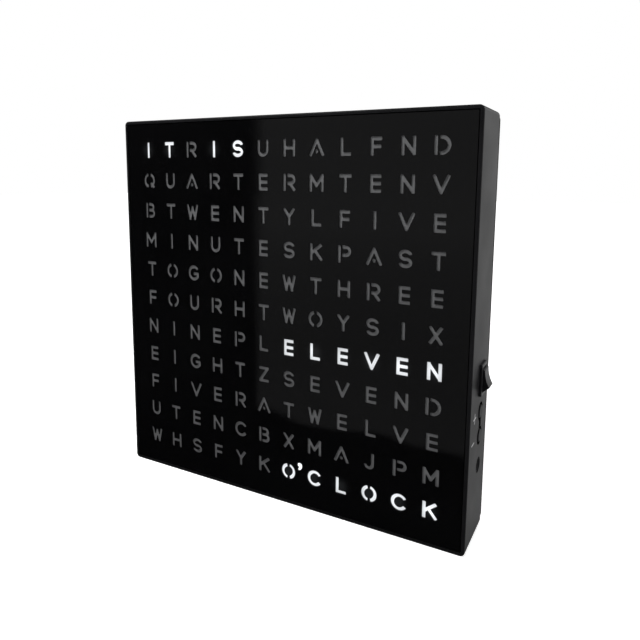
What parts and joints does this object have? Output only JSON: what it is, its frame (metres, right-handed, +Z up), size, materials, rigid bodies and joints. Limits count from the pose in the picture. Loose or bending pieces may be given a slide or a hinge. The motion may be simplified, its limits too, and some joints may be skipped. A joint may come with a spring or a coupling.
{
  "type": "word clock",
  "caption": "Square wall or shelf word clock: a thin black case with a gloss stencil face lit from behind, and a rocker switch, two push buttons and a power socket in one side.",
  "frame": {"origin": "middle of the flat underside that the clock stands on, half-way through its depth", "axes": "+X to the right as seen from the front, towards the side with the controls; +Y from the face to the back; +Z up"},
  "size_m": [0.2042, 0.035, 0.2],
  "materials": {
    "case_black": "satin moulded",
    "face_gloss": "polished",
    "diffuser_smoke": "matt, smoked translucent",
    "baffle_white": "matt moulded",
    "board_green": "solder mask",
    "steel": "bright",
    "black_steel": "blackened",
    "tin": "tin plated",
    "led_white": "moulded",
    "led_phosphor": "cast resin",
    "part_black": "moulded",
    "can_aluminium": "drawn",
    "switch_black": "semi-gloss moulded",
    "nylon": "moulded",
    "brass": "stamped",
    "wire_red": "extruded insulation"
  },
  "bodies": {
    "case": {"housing": "case_black", "front_panel": "face_gloss", "diffuser_sheet": "diffuser_smoke", "light_baffle": "baffle_white", "led_board": "board_green", "board_screws": "steel", "led_packages": "led_white", "led_lenses": "led_phosphor", "microcontroller": "part_black", "led_drivers": "part_black", "clock_chip": "part_black", "clock_crystal": "tin", "chip_resistors": "part_black", "voltage_regulator": "part_black", "smoothing_capacitors": "can_aluminium", "coin_cell_holder": "part_black", "coin_cell": "steel", "coin_cell_clip": "tin", "switch_body": "switch_black", "switch_common_terminal": "brass", "switch_load_terminal": "brass", "switch_wires": "wire_red", "switch_plug": "nylon", "switch_header": "nylon", "button_board": "board_green", "button_header": "part_black", "tact_switches": "part_black", "dc_jack_body": "part_black", "dc_jack_pin": "tin", "dc_jack_contacts": "tin", "rear_cover": "case_black", "rear_screws": "black_steel"},
    "power_rocker": {"switch_rocker": "switch_black", "switch_plunger": "nylon", "switch_spring": "steel"},
    "contact_bar": {"switch_contact": "brass"},
    "plus_key": {"plus_button": "case_black", "tact_plunger_plus": "nylon"},
    "minus_key": {"minus_button": "case_black", "tact_plunger_minus": "nylon"}
  },
  "joints": [
    {"name": "rocker_tilt", "type": "hinge", "parent": "case", "child": "power_rocker", "pos_m": [0.0997, 0.002, 0.0786], "axis": [0, 1, 0], "range_deg": [0, 30]},
    {"name": "contact_tilt", "type": "hinge", "parent": "case", "child": "contact_bar", "pos_m": [0.0911, 0.002, 0.0786], "axis": [0, 1, 0], "range_deg": [-20, 0]},
    {"name": "plus_press", "type": "slide", "parent": "case", "child": "plus_key", "axis": [-1, 0, 0], "range_m": [0, 0.0005], "stiffness_N_per_m": 1600, "springref_m": -0.0005},
    {"name": "minus_press", "type": "slide", "parent": "case", "child": "minus_key", "axis": [-1, 0, 0], "range_m": [0, 0.0005], "stiffness_N_per_m": 1600, "springref_m": -0.0005}
  ],
  "couplings": [
    {"joint": "contact_tilt", "follows": "rocker_tilt", "ratio": -0.66667}
  ]
}
